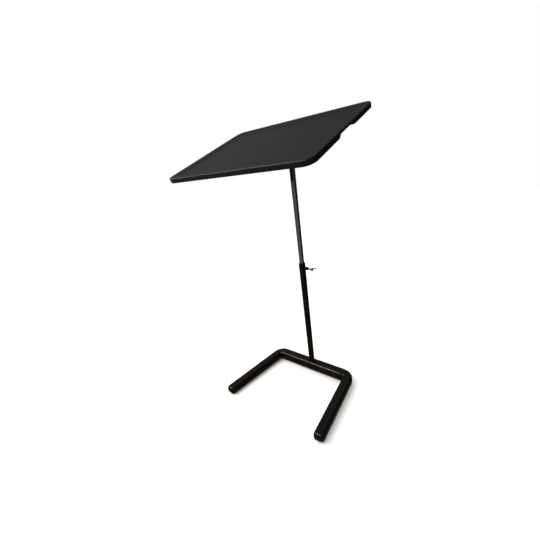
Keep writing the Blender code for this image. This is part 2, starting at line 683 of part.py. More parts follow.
def build_screws(name, places, face, tip, radius, parent):
    """A set of equal round-headed screws, driven upward from a face below."""
    head = radius * 1.9
    seat = face - GAP
    profile = [(head * 0.55, seat - radius * 1.1), (head * 0.9, seat - radius * 0.75), (head, seat),
               (radius, seat), (radius, tip - 0.0004), (radius - 0.0004, tip)]
    for number, (x, y) in enumerate(places, 1):
        place = Matrix.Translation((x, y, 0))
        turned(f"{name}_{number}", profile, parent, "zinc_steel", matrix=place, segments=12)


# ---------------------------------------------------------------- assembly
def main():
    clear_scene()
    column = make_empty("column_axis", COLUMN_FRAME)
    glide = make_empty("height_axis", Matrix(), column)
    inner = make_empty("swivel_axis", Matrix(), glide)
    lift = Matrix.Translation((0, 0, HINGE_HEIGHT)) @ Matrix.Rotation(TRAY_TILT - LEAN, 4, "X")
    tray = make_empty("tilt_axis", lift, inner)
    clamp_pad = make_empty("clamp_pad_axis", Matrix.Translation((0, 0, CLAMP_HEIGHT)), column)
    clamp_screw = make_empty("clamp_screw_axis", Matrix(), clamp_pad)

    build_base()
    build_column_foot(column)
    build_outer_column(column)
    build_inner_column(glide, inner)
    build_clamp(column, clamp_pad, clamp_screw)
    build_tray(tray)
    build_tilt_bracket(tray)


main()
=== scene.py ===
import json
from math import atan2, cos, hypot, pi, radians, sin, tan

import bmesh
import bpy
from mathutils import Matrix, Vector


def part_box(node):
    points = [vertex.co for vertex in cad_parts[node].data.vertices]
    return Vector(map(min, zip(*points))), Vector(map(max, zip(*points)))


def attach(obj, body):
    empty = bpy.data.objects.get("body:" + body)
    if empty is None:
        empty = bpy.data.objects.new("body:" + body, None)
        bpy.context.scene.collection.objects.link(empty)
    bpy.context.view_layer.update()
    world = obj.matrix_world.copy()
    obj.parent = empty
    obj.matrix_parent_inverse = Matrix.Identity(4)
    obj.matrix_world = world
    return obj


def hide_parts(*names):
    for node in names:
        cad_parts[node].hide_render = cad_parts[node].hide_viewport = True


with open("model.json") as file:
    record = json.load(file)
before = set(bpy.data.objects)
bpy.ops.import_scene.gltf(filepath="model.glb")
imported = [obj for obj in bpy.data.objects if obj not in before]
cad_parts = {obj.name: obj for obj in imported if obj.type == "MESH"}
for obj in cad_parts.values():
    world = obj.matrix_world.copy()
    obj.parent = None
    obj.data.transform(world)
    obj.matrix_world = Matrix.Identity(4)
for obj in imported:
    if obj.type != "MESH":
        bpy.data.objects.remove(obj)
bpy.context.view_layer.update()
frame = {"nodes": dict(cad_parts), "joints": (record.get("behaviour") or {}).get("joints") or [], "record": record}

# ---------------------------------------------------------------- places read from the frame
JOINTS = {joint["name"]: joint for joint in frame["joints"]}
MOUNTS = {mount["name"]: mount for mount in frame["record"]["mounts"]}
COLUMN_AXIS = Vector(JOINTS["height_slide"]["axis"]).normalized()
COLUMN_FOOT = Vector(JOINTS["column_swivel"]["pos_m"])
HINGE = Vector(JOINTS["tray_tilt"]["pos_m"])
CLAMP = Vector(JOINTS["clamp_turn"]["pos_m"])
TRAY_NORMAL = Vector(MOUNTS["reading_surface"]["axis"]).normalized()
SIDE = Vector((1, 0, 0))


def axis_frame(origin, up):
    """A frame with Z along up and X along the rail."""
    back = up.cross(SIDE).normalized()
    turn = Matrix((SIDE, back, up)).transposed().to_4x4()
    return Matrix.Translation(origin) @ turn


COLUMN = axis_frame(COLUMN_FOOT, COLUMN_AXIS)
TRAY = axis_frame(HINGE, TRAY_NORMAL)
ALONG_X = Matrix.Rotation(pi / 2, 4, "Y")
CLAMP_LINE = axis_frame(CLAMP, COLUMN_AXIS) @ ALONG_X
CLAMP_UPRIGHT = CLAMP_LINE @ ALONG_X.inverted()
PIVOT_LINE = TRAY @ ALONG_X
GAP = 0.0003                # air between pieces that touch


def along(point):
    """Distance of a world point along the column from its foot."""
    return (Vector(point) - COLUMN_FOOT).dot(COLUMN_AXIS)


def span(node, matrix):
    """Lowest and highest corner of a CAD node in a frame."""
    inverse = matrix.inverted()
    points = [inverse @ vertex.co for vertex in frame["nodes"][node].data.vertices]
    low = Vector([min(point[i] for point in points) for i in range(3)])
    high = Vector([max(point[i] for point in points) for i in range(3)])
    return low, high


# ---------------------------------------------------------------- mesh helpers
def soften(points, radius, steps=4, closed=False):
    """Round the corners of a flat outline of 2-D points with small arcs."""
    result = []
    count = len(points)
    for i, point in enumerate(points):
        here = Vector(point)
        if not closed and i in (0, count - 1):
            result.append(tuple(here))
            continue
        before = Vector(points[i - 1]) - here
        after = Vector(points[(i + 1) % count]) - here
        reach = min(radius, before.length * 0.45, after.length * 0.45)
        start = here + before.normalized() * reach
        end = here + after.normalized() * reach
        for step in range(steps + 1):
            share = step / steps
            spot = start * (1 - share) ** 2 + here * 2 * share * (1 - share) + end * share ** 2
            result.append(tuple(spot))
    return result


def loft(bm, rings, closed=False):
    """Skin a row of equal rings of points. A row that isn't closed is capped at both ends."""
    rows = [[bm.verts.new(point) for point in ring] for ring in rings]
    pairs = list(zip(rows, rows[1:]))
    if closed:
        pairs.append((rows[-1], rows[0]))
    for lower, upper in pairs:
        for i in range(len(lower)):
            j = (i + 1) % len(lower)
            bm.faces.new((lower[i], lower[j], upper[j], upper[i]))
    if not closed:
        bm.faces.new(rows[0])
        bm.faces.new(rows[-1])


def turn(bm, profile, matrix, closed=False, segments=64):
    """Turn (radius, height) points about the Z axis of a frame.

    A solid profile starts and ends a fraction of a millimetre off the axis, and is capped there.
    """
    rings = []
    for radius, height in profile:
        ring = []
        for step in range(segments):
            angle = 2 * pi * (step + 0.5) / segments
            ring.append(matrix @ Vector((radius * cos(angle), radius * sin(angle), height)))
        rings.append(ring)
    loft(bm, rings, closed)


def make_object(name, bm, material=None, sharp=35):
    """An object of a finished mesh, smooth except at sharp edges."""
    bmesh.ops.recalc_face_normals(bm, faces=bm.faces)
    mesh = bpy.data.meshes.new(name)
    bm.to_mesh(mesh)
    bm.free()
    mesh.shade_smooth()
    mesh.set_sharp_from_angle(angle=radians(sharp))
    if material:
        mesh.materials.append(material)
    thing = bpy.data.objects.new(name, mesh)
    bpy.context.scene.collection.objects.link(thing)
    return thing


def turned(name, profile, matrix, material=None, **options):
    """An object turned from a profile."""
    bm = bmesh.new()
    turn(bm, profile, matrix, **options)
    return make_object(name, bm, material)


def boolean(target, tools, operation, sharp=35):
    """Cut or join with throwaway tools, and keep the result as the target's own mesh."""
    for tool in tools:
        modifier = target.modifiers.new("tool", "BOOLEAN")
        modifier.operation = operation
        modifier.object = tool
        modifier.solver = "EXACT"
    bake(target, sharp)
    for tool in tools:
        bpy.data.objects.remove(tool)


def bake(thing, sharp=35):
    """Apply the object's modifiers."""
    graph = bpy.context.evaluated_depsgraph_get()
    mesh = bpy.data.meshes.new_from_object(thing.evaluated_get(graph))
    thing.modifiers.clear()
    thing.data = mesh
    mesh.shade_smooth()
    mesh.set_sharp_from_angle(angle=radians(sharp))


def place_piece(piece, body, nodes):
    """Tie a piece to its body, and hide the CAD nodes that it stands for."""
    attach(piece, body)
    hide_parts(*nodes)
    return piece


def rounded_rectangle(half_x, half_y, radii, steps):
    """Points of a rectangle with rounded corners, from the +X +Y corner, anticlockwise."""
    points = []
    for corner, (sign_x, sign_y) in enumerate(((1, 1), (-1, 1), (-1, -1), (1, -1))):
        radius = radii[corner]
        for step in range(steps + 1):
            angle = pi / 2 * (corner + step / steps)
            points.append((sign_x * (half_x - radius) + radius * cos(angle),
                           sign_y * (half_y - radius) + radius * sin(angle)))
    return points


# ---------------------------------------------------------------- materials
class Nodes:
    """Short way to wire a node material."""

    def __init__(self, name, colour, roughness, metallic=0.0):
        self.material = bpy.data.materials.new(name)
        self.material.use_nodes = True
        self.tree = self.material.node_tree
        self.shader = self.tree.nodes["Principled BSDF"]
        self.set("Base Color", (*colour, 1.0))
        self.set("Roughness", roughness)
        self.set("Metallic", metallic)
        self.coords = self.tree.nodes.new("ShaderNodeTexCoord").outputs["Object"]

    def set(self, socket, value):
        self.shader.inputs[socket].default_value = value

    def link(self, output, socket):
        self.tree.links.new(output, socket)

    def drive(self, output, socket):
        self.link(output, self.shader.inputs[socket])

    def noise(self, scale, detail=3.0, stretch=(1, 1, 1)):
        mapping = self.tree.nodes.new("ShaderNodeMapping")
        mapping.inputs["Scale"].default_value = stretch
        texture = self.tree.nodes.new("ShaderNodeTexNoise")
        texture.inputs["Scale"].default_value = scale
        texture.inputs["Detail"].default_value = detail
        self.link(self.coords, mapping.inputs["Vector"])
        self.link(mapping.outputs["Vector"], texture.inputs["Vector"])
        return texture.outputs["Fac"]

    def ramp(self, factor, low, high, start=0.3, end=0.7):
        node = self.tree.nodes.new("ShaderNodeValToRGB")
        for element, place, colour in zip(node.color_ramp.elements, (start, end), (low, high)):
            element.position = place
            element.color = (*colour, 1.0)
        self.link(factor, node.inputs["Fac"])
        return node.outputs["Color"]

    def range(self, factor, low, high):
        node = self.tree.nodes.new("ShaderNodeMapRange")
        limits = {"From Min": 0.3, "From Max": 0.7, "To Min": low, "To Max": high}
        for socket, value in limits.items():
            node.inputs[socket].default_value = value
        self.link(factor, node.inputs["Value"])
        return node.outputs["Result"]

    def add(self, first, second, weight):
        node = self.tree.nodes.new("ShaderNodeMath")
        node.operation = "MULTIPLY_ADD"
        node.inputs[1].default_value = weight
        self.link(second, node.inputs[0])
        self.link(first, node.inputs[2])
        return node.outputs["Value"]

    def bump(self, height, distance, strength=1.0):
        node = self.tree.nodes.new("ShaderNodeBump")
        node.inputs["Distance"].default_value = distance
        node.inputs["Strength"].default_value = strength
        self.link(height, node.inputs["Height"])
        self.drive(node.outputs["Normal"], "Normal")


def powder_coat():
    """Satin black powder coat on the base, the outer tube and the bracket."""
    paint = Nodes("powder_coat", (0.002, 0.002, 0.002), 0.25)
    shade = paint.ramp(paint.noise(14.0, 4.0), (0.0010, 0.0008, 0.0008), (0.0024, 0.0019, 0.0018))
    paint.drive(shade, "Base Color")
    paint.drive(paint.range(paint.noise(60.0, 5.0), 0.20, 0.29), "Roughness")
    peel = paint.add(paint.noise(420.0, 1.0), paint.noise(1500.0, 2.0), 0.3)
    paint.bump(peel, 0.00005, 0.20)
    return paint.material


def soft_tray():
    """Charcoal moulded tray: matt, faintly mottled, with a fine moulded grain."""
    skin = Nodes("tray_skin", (0.014, 0.014, 0.014), 0.50)
    cloud = skin.add(skin.noise(7.0, 3.0), skin.noise(45.0, 4.0), 0.35)
    shade = skin.ramp(cloud, (0.0050, 0.0048, 0.0047), (0.0080, 0.0075, 0.0071), 0.45, 0.90)
    skin.drive(shade, "Base Color")
    skin.drive(skin.range(skin.noise(22.0, 5.0), 0.45, 0.52), "Roughness")
    grain = skin.add(skin.noise(900.0, 2.0), skin.noise(260.0, 2.0), 0.8)
    skin.bump(grain, 0.00008, 0.22)
    return skin.material


def chrome():
    """Polished chrome with faint rubbing marks along the tube."""
    plate = Nodes("chrome_plate", (0.60, 0.61, 0.62), 0.06, 1.0)
    marks = plate.noise(90.0, 6.0, stretch=(6, 6, 0.4))
    plate.drive(plate.range(marks, 0.05, 0.13), "Roughness")
    shade = plate.ramp(plate.noise(9.0, 2.0), (0.54, 0.55, 0.56), (0.64, 0.64, 0.64))
    plate.drive(shade, "Base Color")
    plate.bump(marks, 0.00001, 0.15)
    return plate.material


def cast_chrome():
    """Satin chrome on the cast wing, with the skin of the casting under it."""
    plate = Nodes("cast_chrome", (0.66, 0.65, 0.64), 0.34, 1.0)
    skin = plate.noise(420.0, 3.0)
    plate.drive(plate.ramp(skin, (0.60, 0.585, 0.57), (0.72, 0.71, 0.70)), "Base Color")
    plate.drive(plate.range(plate.noise(260.0, 4.0), 0.28, 0.40), "Roughness")
    plate.bump(skin, 0.00004, 0.3)
    return plate.material


def zinc():
    """Zinc-plated steel of the bolts and screws."""
    plate = Nodes("zinc_plate", (0.50, 0.51, 0.53), 0.33, 1.0)
    spangle = plate.noise(320.0, 3.0)
    plate.drive(plate.ramp(spangle, (0.42, 0.43, 0.46), (0.58, 0.58, 0.58)), "Base Color")
    plate.drive(plate.range(plate.noise(900.0, 2.0), 0.25, 0.42), "Roughness")
    plate.bump(spangle, 0.00002, 0.2)
    return plate.material


def rubber():
    """Black rubber of the pads under the base, with a little dust."""
    pad = Nodes("pad_rubber", (0.012, 0.012, 0.012), 0.85)
    dust = pad.noise(120.0, 5.0)
    pad.drive(pad.ramp(dust, (0.008, 0.008, 0.008), (0.022, 0.021, 0.020)), "Base Color")
    pad.drive(pad.range(dust, 0.75, 0.92), "Roughness")
    pad.bump(pad.noise(1200.0, 2.0), 0.00008, 0.4)
    return pad.material


def nylon():
    """Black nylon of the guide bush, the glide plug and the clamp's pad."""
    guide = Nodes("black_nylon", (0.010, 0.010, 0.010), 0.45)
    flow = guide.noise(200.0, 3.0)
    guide.drive(guide.ramp(flow, (0.007, 0.007, 0.007), (0.014, 0.014, 0.014)), "Base Color")
    guide.drive(guide.range(flow, 0.40, 0.52), "Roughness")
    guide.bump(guide.noise(1500.0, 2.0), 0.00004, 0.3)
    return guide.material


def lining():
    """Fibre friction lining between the hinge faces."""
    fibre = Nodes("friction_lining", (0.20, 0.17, 0.12), 0.75)
    strands = fibre.noise(900.0, 6.0, stretch=(1, 3, 1))
    fibre.drive(fibre.ramp(strands, (0.13, 0.11, 0.08), (0.25, 0.21, 0.15)), "Base Color")
    fibre.drive(fibre.range(strands, 0.68, 0.85), "Roughness")
    fibre.bump(strands, 0.0001, 0.5)
    return fibre.material


MATERIALS = {
    "black_paint": powder_coat(),
    "soft_black": soft_tray(),
    "chrome": chrome(),
    "zinc_steel": zinc(),
    "rubber": rubber(),
    "nylon": nylon(),
    "friction": lining(),
}


def paint_cad_nodes():
    """Every CAD node gets its slot's material, whether or not a finer piece stands for it."""
    for row in frame["record"]["subparts"]:
        node = frame["nodes"][row["node"]]
        node.data.materials.clear()
        node.data.materials.append(MATERIALS[row["material_slot"]])


def round_piece(name, profile, matrix, body, node, slot, **options):
    """A turned piece that stands for one CAD node."""
    piece = turned(name, profile, matrix, MATERIALS[slot], **options)
    return place_piece(piece, body, [node])


# ---------------------------------------------------------------- camera, floor and light
CAMERA_TARGET = Vector((0, 0, 0.35))
CAMERA_AZIMUTH = 0.5885
CAMERA_ELEVATION = 0.4319
CAMERA_ROLL = -0.0557
CAMERA_DISTANCE = 1.0257
CAMERA_LENS = 15.762
CAMERA_SHIFT = (-0.07177, 0.06171)


def build_camera():
    camera = bpy.data.objects.new("camera", bpy.data.cameras.new("camera"))
    bpy.context.scene.collection.objects.link(camera)
    back = Vector((sin(CAMERA_AZIMUTH) * cos(CAMERA_ELEVATION),
                   -cos(CAMERA_AZIMUTH) * cos(CAMERA_ELEVATION), sin(CAMERA_ELEVATION)))
    right = Vector((0, 0, 1)).cross(back).normalized()
    up = back.cross(right)
    rolled_right = right * cos(CAMERA_ROLL) + up * sin(CAMERA_ROLL)
    rolled_up = up * cos(CAMERA_ROLL) - right * sin(CAMERA_ROLL)
    facing = Matrix((rolled_right, rolled_up, back)).transposed().to_4x4()
    camera.matrix_world = Matrix.Translation(CAMERA_TARGET + back * CAMERA_DISTANCE) @ facing
    camera.data.lens = CAMERA_LENS
    camera.data.sensor_width = 36.0
    camera.data.shift_x, camera.data.shift_y = CAMERA_SHIFT
    camera.data.clip_start = 0.01
    camera.data.clip_end = 200.0
    bpy.context.scene.camera = camera


def area_light(name, location, target, size, power, colour):
    light = bpy.data.lights.new(name, "AREA")
    light.shape = "RECTANGLE"
    light.size, light.size_y = size
    light.energy = power
    light.color = colour
    lamp = bpy.data.objects.new(name, light)
    bpy.context.scene.collection.objects.link(lamp)
    lamp.location = location
    aim = Vector(target) - Vector(location)
    lamp.rotation_euler = aim.to_track_quat("-Z", "Y").to_euler()


FLOOR_HALF = 40.0
ROOM_LEFT = 2.20            # sky seen by matt surfaces on the lit side
ROOM_RIGHT = 0.60           # the same on the dark side
FLOOR_BOUNCE = (0.42, 0.40, 0.38)
CEILING = (0.150, 0.142, 0.150)
ROOM_ROUND = (
    # share of a turn from -X by way of -Y, colour of the room seen in reflections
    (0.00, (0.050, 0.052, 0.056)),
    (0.08, (0.028, 0.026, 0.024)),
    (0.17, (0.045, 0.040, 0.036)),
    (0.27, (0.130, 0.105, 0.095)),
    (0.36, (0.060, 0.052, 0.046)),
    (0.44, (0.070, 0.062, 0.055)),
    (0.50, (0.006, 0.006, 0.006)),
    (0.75, (0.010, 0.010, 0.010)),
    (0.84, (0.048, 0.046, 0.044)),
    (0.92, (0.046, 0.047, 0.050)),
)
FLOOR_ROUND = (
    # share of a turn, colour of the floor away from the base seen in reflections
    (0.00, (0.200, 0.208, 0.215)),
    (0.08, (0.070, 0.073, 0.073)),
    (0.20, (0.075, 0.080, 0.080)),
    (0.34, (0.120, 0.126, 0.124)),
    (0.42, (0.080, 0.083, 0.080)),
    (0.47, (0.012, 0.012, 0.011)),
    (0.75, (0.008, 0.008, 0.008)),
    (0.90, (0.170, 0.170, 0.170)),
)
FLOOR_NEAR = (0.150, 0.085, 0.030)    # the floor under the base seen in reflections


def round_ramp(tree, place, colours):
    """Colour of the room at a direction or a place, by its bearing seen from the column."""
    nodes = tree.nodes
    bearing = nodes.new("ShaderNodeTexGradient")
    bearing.gradient_type = "RADIAL"
    quarter = nodes.new("ShaderNodeMapping")
    quarter.inputs["Scale"].default_value = (1, 1, 0)
    tree.links.new(place, quarter.inputs["Vector"])
    tree.links.new(quarter.outputs["Vector"], bearing.inputs["Vector"])
    ramp = nodes.new("ShaderNodeValToRGB")
    stops = ramp.color_ramp.elements
    while len(stops) < len(colours):
        stops.new(0.5)
    for stop, (share, colour) in zip(stops, colours):
        stop.position = share
        stop.color = (*colour, 1.0)
    tree.links.new(bearing.outputs["Fac"], ramp.inputs["Fac"])
    return ramp.outputs["Color"]


def blend_colours(tree, factor, first, second):
    """Mix two colours. The second may be a plain colour."""
    mix = tree.nodes.new("ShaderNodeMix")
    mix.data_type = "RGBA"
    tree.links.new(factor, mix.inputs["Factor"])
    tree.links.new(first, mix.inputs["A"])
    mix.inputs["B"].default_value = (*second, 1.0)
    return mix.outputs["Result"]


def scaled(tree, value, low, high, to_low=0.0, to_high=1.0):
    """Map a value from one range to another, and clamp it."""
    node = tree.nodes.new("ShaderNodeMapRange")
    node.interpolation_type = "SMOOTHSTEP"
    limits = {"From Min": low, "From Max": high, "To Min": to_low, "To Max": to_high}
    for socket, number in limits.items():
        node.inputs[socket].default_value = number
    tree.links.new(value, node.inputs["Value"])
    return node.outputs["Result"]


def build_world():
    """White to the eye, a softly lit side and a dark side to matt surfaces, a dim room to gloss."""
    world = bpy.data.worlds.new("studio")
    bpy.context.scene.world = world
    world.use_nodes = True
    tree = world.node_tree
    nodes = tree.nodes
    place = nodes.new("ShaderNodeTexCoord").outputs["Generated"]
    split = nodes.new("ShaderNodeSeparateXYZ")
    tree.links.new(place, split.inputs["Vector"])

    skies = {}
    for name in ("eye", "matt", "gloss"):
        sky = nodes.new("ShaderNodeBackground")
        sky.inputs["Color"].default_value = (1.0, 1.0, 1.0, 1.0)
        skies[name] = sky
    side = scaled(tree, split.outputs["X"], -0.7, 0.7, ROOM_LEFT, ROOM_RIGHT)
    tree.links.new(side, skies["matt"].inputs["Strength"])
    height = scaled(tree, split.outputs["Z"], 0.45, 0.90)
    room = blend_colours(tree, height, round_ramp(tree, place, ROOM_ROUND), CEILING)
    tree.links.new(room, skies["gloss"].inputs["Color"])

    path = nodes.new("ShaderNodeLightPath")
    shader = skies["matt"].outputs["Background"]
    for kind, name in (("Is Glossy Ray", "gloss"), ("Is Camera Ray", "eye")):
        mix = nodes.new("ShaderNodeMixShader")
        tree.links.new(path.outputs[kind], mix.inputs["Fac"])
        tree.links.new(shader, mix.inputs[1])
        tree.links.new(skies[name].outputs["Background"], mix.inputs[2])
        shader = mix.outputs["Shader"]
    tree.links.new(shader, nodes["World Output"].inputs["Surface"])


def floor_material():
    """Plain pale floor. Gloss mirrors a warm one near the base, matt sides get little from it."""
    material = bpy.data.materials.new("pale_floor")
    material.use_nodes = True
    tree = material.node_tree
    nodes = tree.nodes
    pale = nodes["Principled BSDF"]
    pale.inputs["Base Color"].default_value = (0.86, 0.86, 0.86, 1.0)
    pale.inputs["Roughness"].default_value = 0.9
    pale.inputs["Specular IOR Level"].default_value = 0.0
    place = nodes.new("ShaderNodeTexCoord").outputs["Object"]
    ball = nodes.new("ShaderNodeTexGradient")
    ball.gradient_type = "SPHERICAL"
    spread = nodes.new("ShaderNodeMapping")
    spread.inputs["Scale"].default_value = (0.8, 0.8, 0.8)
    tree.links.new(place, spread.inputs["Vector"])
    tree.links.new(spread.outputs["Vector"], ball.inputs["Vector"])
    glow = nodes.new("ShaderNodeEmission")
    far = round_ramp(tree, place, FLOOR_ROUND)
    mirrored = blend_colours(tree, ball.outputs["Fac"], far, FLOOR_NEAR)
    tree.links.new(mirrored, glow.inputs["Color"])
    bounce = nodes.new("ShaderNodeEmission")
    bounce.inputs["Color"].default_value = (*FLOOR_BOUNCE, 1.0)

    path = nodes.new("ShaderNodeLightPath")
    shader = pale.outputs["BSDF"]
    for kind, light in (("Is Diffuse Ray", bounce), ("Is Glossy Ray", glow)):
        mix = nodes.new("ShaderNodeMixShader")
        tree.links.new(path.outputs[kind], mix.inputs["Fac"])
        tree.links.new(shader, mix.inputs[1])
        tree.links.new(light.outputs["Emission"], mix.inputs[2])
        shader = mix.outputs["Shader"]
    tree.links.new(shader, nodes["Material Output"].inputs["Surface"])
    return material


def build_stage():
    """The pale floor, a long strip of light on the left and a weak window behind."""
    bm = bmesh.new()
    corners = ((-1, -1), (1, -1), (1, 1), (-1, 1))
    bm.faces.new([bm.verts.new((x * FLOOR_HALF, y * FLOOR_HALF, 0)) for x, y in corners])
    mesh = bpy.data.meshes.new("floor")
    bm.to_mesh(mesh)
    bm.free()
    mesh.materials.append(floor_material())
    floor = bpy.data.objects.new("floor", mesh)
    bpy.context.scene.collection.objects.link(floor)

    area_light("softbox", location=(-1.40, -1.25, 2.05), target=(-1.40, -0.1, 0.3),
               size=(2.20, 0.12), power=34, colour=(1.0, 0.99, 0.97))
    area_light("window", location=(-2.4, 1.5, 2.1), target=(0, -0.1, 0.8),
               size=(1.6, 1.6), power=0.6, colour=(0.97, 0.98, 1.0))


# ---------------------------------------------------------------- base
BASE_LOW, BASE_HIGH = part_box("base_frame")
RAIL_WIDTH = 2 * BASE_HIGH.y
RAIL_HEIGHT = BASE_HIGH.z
FLOOR_GAP = BASE_LOW.z
LEG_REACH = -BASE_LOW.y
RAIL_HALF = 0.1942
LEG_SPLAY = 0.0281
LEG_WIDTHS = (0.0429, 0.0411)
LEG_HEIGHTS = (0.0430, 0.0368)
CORNER_RADIUS = 0.0286
TOP_ROUND = 0.0155
BOTTOM_ROUND = 0.0130
TIP_ROUND = 0.0130
CAST_WALL = 0.0060
RAIL_POCKET = (0.034, 0.150)
RAIL_POCKET_ROOF = 0.0100
LEG_POCKET = (0.045, 0.260)
PAD_RECESS = 0.0018
PAD_NODES = ("foot_pad_left_tip", "foot_pad_right_tip", "foot_pad_left_corner",
             "foot_pad_right_corner", "centre_pad")
BOLT_HOLE = 0.0054          # radii of the column bolt's hole and of the recess for its washer
BOLT_RECESS = 0.0110
BOLT_SEAT = -0.0355
LEG_LENGTH = hypot(LEG_SPLAY, LEG_REACH)
LEG_TURN = atan2(LEG_REACH, LEG_SPLAY)
LEG_DIRECTION = Vector((cos(LEG_TURN), -sin(LEG_TURN)))


def base_section(centre, direction, width, height, inset=0.0):
    """One upright section of the casting, square to its direction in plan."""
    low = FLOOR_GAP + inset
    high = height - inset
    share = height / RAIL_HEIGHT
    smallest = 0.003
    top = max(TOP_ROUND * share - inset * 0.8, smallest)
    bottom = max(BOTTOM_ROUND * share - inset * 0.7, smallest)
    sideways = Vector((-direction.y, direction.x))
    ring = []
    radii = (top, top, bottom, bottom)
    for across, up in rounded_rectangle(width / 2 - inset, (high - low) / 2, radii, 9):
        spot = centre + sideways * across
        ring.append(Vector((spot.x, spot.y, (low + high) / 2 + up)))
    return ring


def leg_point(distance):
    """Place on the right leg's middle line, from where it would meet the rail's."""
    return Vector((RAIL_HALF, 0)) + LEG_DIRECTION * distance


def between(ends, share):
    """Value at a share of the way from one end to the other."""
    return ends[0] + (ends[1] - ends[0]) * share


def half_base():
    """Sections from beside the column, round one corner and out to the leg's tip."""
    rings = []
    tangent = CORNER_RADIUS * tan(LEG_TURN / 2)
    arc_centre = Vector((RAIL_HALF - tangent, -CORNER_RADIUS))
    steps = 8
    for step in range(steps):
        centre = Vector((arc_centre.x * step / steps, 0))
        rings.append(base_section(centre, Vector((1, 0)), RAIL_WIDTH, RAIL_HEIGHT))
    steps = 28
    for step in range(steps + 1):
        share = step / steps
        angle = LEG_TURN * share
        outward = Vector((sin(angle), cos(angle)))
        width = between((RAIL_WIDTH, LEG_WIDTHS[0]), share)
        height = between((RAIL_HEIGHT, LEG_HEIGHTS[0]), share)
        direction = Vector((cos(angle), -sin(angle)))
        rings.append(base_section(arc_centre + outward * CORNER_RADIUS, direction, width, height))
    straight_end = LEG_LENGTH - TIP_ROUND
    steps = 12
    for step in range(1, steps + 1):
        share = step / steps
        spot = leg_point(between((tangent, straight_end), share))
        width, height = between(LEG_WIDTHS, share), between(LEG_HEIGHTS, share)
        rings.append(base_section(spot, LEG_DIRECTION, width, height))
    for step in range(1, steps + 1):
        angle = pi / 2 * step / steps
        inset = TIP_ROUND * (1 - cos(angle)) * 0.92
        spot = leg_point(straight_end + TIP_ROUND * sin(angle))
        rings.append(base_section(spot, LEG_DIRECTION, LEG_WIDTHS[1], LEG_HEIGHTS[1], inset))
    return rings


def pocket(bm, half_x, low_y, high_y, top, matrix):
    """A casting pocket with round corners, open downward."""
    middle = (low_y + high_y) / 2
    outline = rounded_rectangle(half_x, (high_y - low_y) / 2, (0.006,) * 4, 6)
    loft(bm, [[matrix @ Vector((x, y + middle, z)) for x, y in outline] for z in (-0.01, top)])


def build_base():
    """The casting, with its pockets, the column's socket and bolt hole, and the pads' recesses."""
    right = half_base()
    left = [[Vector((-point.x, point.y, point.z)) for point in ring] for ring in right[1:]]
    bm = bmesh.new()
    loft(bm, list(reversed(left)) + right)
    casting = make_object("base_casting", bm, MATERIALS["black_paint"])

    bm = bmesh.new()
    half_rail = RAIL_WIDTH / 2 - CAST_WALL
    half_leg = LEG_WIDTHS[1] / 2 - CAST_WALL
    for side in (-1, 1):
        along_rail = Matrix.Rotation(-side * pi / 2, 4, "Z")
        pocket(bm, half_rail, *RAIL_POCKET, RAIL_HEIGHT - RAIL_POCKET_ROOF, along_rail)
        spot = leg_point(LEG_POCKET[0])
        heading = atan2(LEG_DIRECTION.y, LEG_DIRECTION.x * side) - pi / 2
        along_leg = Matrix.Translation((side * spot.x, spot.y, 0)) @ Matrix.Rotation(heading, 4, "Z")
        length = LEG_POCKET[1] - LEG_POCKET[0]
        pocket(bm, half_leg, 0, length, LEG_HEIGHTS[1] - CAST_WALL, along_leg)
    tools = [make_object("pockets", bm)]

    tube_low, tube_high = span("outer_column_tube", COLUMN)
    socket = tube_high.x + GAP
    tools.append(turned("socket", [(socket, tube_low.z - GAP), (socket, 0.03)], COLUMN))
    tools.append(turned("bolt_hole", [(BOLT_HOLE, -0.045), (BOLT_HOLE, -0.01)], COLUMN))
    tools.append(turned("bolt_recess", [(BOLT_RECESS, -0.060), (BOLT_RECESS, BOLT_SEAT)], COLUMN))
    for node in PAD_NODES:
        low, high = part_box(node)
        middle = Matrix.Translation(((low.x + high.x) / 2, (low.y + high.y) / 2, FLOOR_GAP))
        radius = (high.x - low.x) / 2 + GAP
        tools.append(turned("recess", [(radius, -0.01), (radius, PAD_RECESS)], middle))
    boolean(casting, tools, "DIFFERENCE", 40)
    place_piece(casting, "base", ["base_frame"])


def build_pads():
    """The rubber pads under the base, each a low cylinder with round edges."""
    for node in PAD_NODES:
        low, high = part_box(node)
        radius = (high.x - low.x) / 2
        centre = Matrix.Translation(((low.x + high.x) / 2, (low.y + high.y) / 2, 0))
        profile = soften([(0.0005, 0), (radius, 0), (radius, high.z), (0.0005, high.z)], 0.0012, 5)
        round_piece("rubber_" + node, profile, centre, "base", node, "rubber")


# ---------------------------------------------------------------- column
TUBE_WALL = 0.0015
BUSH_SLEEVE = 0.0112        # radius of the bush where it sits in the tube
PLUG_RADIUS = 0.0077
PLUG_LENGTH = 0.024
CROSS_PIN_DROP = 0.011
CROSS_PIN_BORE = 0.0023
NECK_HALF = 0.0080
NECK_THICK = 0.0079
HEAD_BORE = 0.0043


def sleeve_outline(outer, inner, low, high, edge):
    """Closed profile of a sleeve with rounded rims."""
    return soften([(outer, low), (outer, high), (inner, high), (inner, low)], edge, 4, closed=True)


def tube_piece(name, node, body, slot):
    """A round tube between the ends of its CAD node, with softened rims."""
    low, high = span(node, COLUMN)
    outline = sleeve_outline(high.x, high.x - TUBE_WALL, low.z, high.z, 0.0005)
    return round_piece(name, outline, COLUMN, body, node, slot, closed=True, segments=96)


